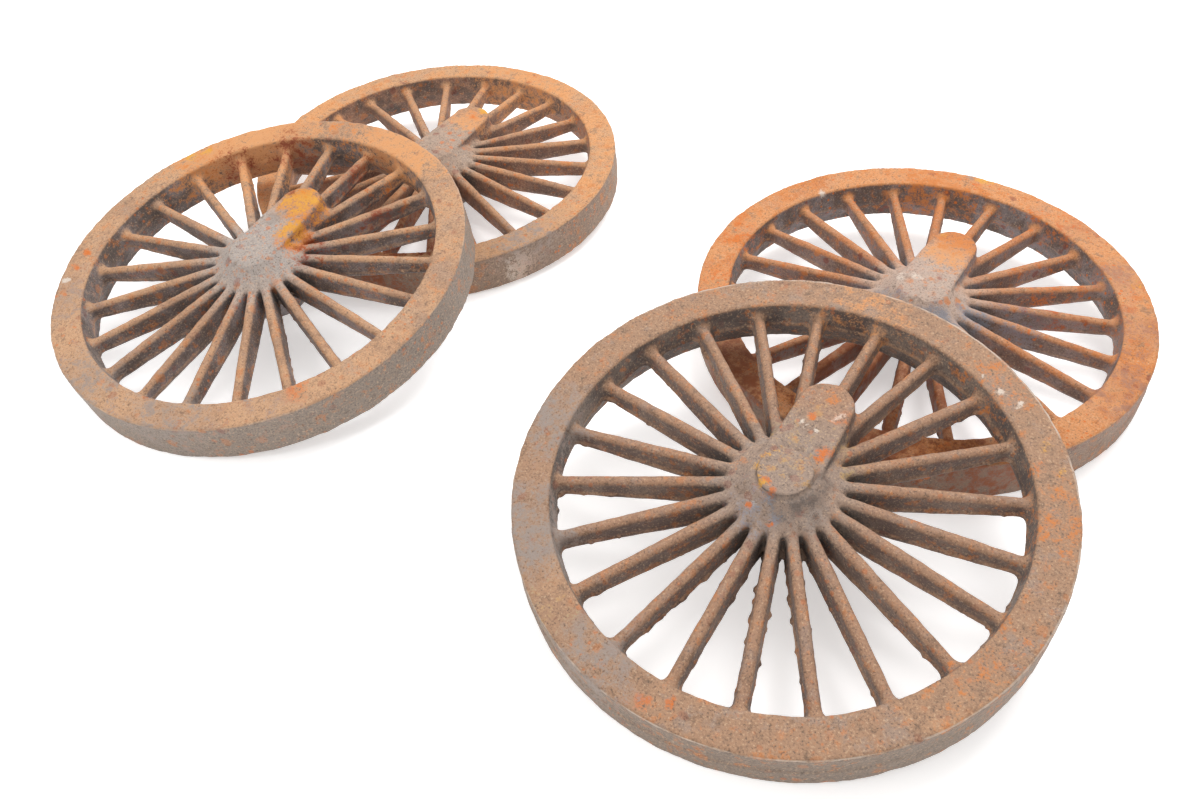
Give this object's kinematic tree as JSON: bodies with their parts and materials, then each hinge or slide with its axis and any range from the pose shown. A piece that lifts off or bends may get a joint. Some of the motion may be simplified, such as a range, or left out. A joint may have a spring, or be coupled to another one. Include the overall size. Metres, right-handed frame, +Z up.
{
  "type": "locomotive wheel castings",
  "caption": "Raw cast-iron spoked driving wheels with crank bosses for a model steam locomotive, as loose castings that lie in leaning pairs.",
  "frame": {"origin": "middle of the set's footprint, on the floor", "axes": "+Z up from the floor; +X from the left pair to the right pair; +Y away from the side where both leaning wheels touch the floor"},
  "size_m": [0.6807, 0.6376, 0.0811],
  "materials": {
    "iron_right_lying": "raw sand casting, strong orange rust on the rim, blue-grey hub",
    "iron_right_leaning": "raw sand casting, brown-grey with patches of orange rust",
    "iron_left_lying": "raw sand casting, tan-orange rust, grey hub",
    "iron_left_leaning": "raw sand casting, tan rust, grey hub, yellow and orange rust on the crank"
  },
  "bodies": {
    "right_lying": {"right_lying_wheel": "iron_right_lying"},
    "right_leaning": {"right_leaning_wheel": "iron_right_leaning"},
    "left_lying": {"left_lying_wheel": "iron_left_lying"},
    "left_leaning": {"left_leaning_wheel": "iron_left_leaning"}
  },
  "joints": [
    {"name": "right_wheel_tip", "type": "hinge", "parent": "right_lying", "child": "right_leaning", "pos_m": [0.03941, -0.30061, 0], "axis": [0.9048, -0.4258, 0], "range_deg": [0, 79.02]},
    {"name": "left_pair_lift", "type": "slide", "parent": "right_lying", "child": "left_lying", "axis": [0, 0, 1], "range_m": [0, 0.3]},
    {"name": "left_wheel_tip", "type": "hinge", "parent": "left_lying", "child": "left_leaning", "pos_m": [-0.26828, -0.07611, 0], "axis": [0.8695, -0.4939, 0], "range_deg": [0, 78.18]}
  ]
}
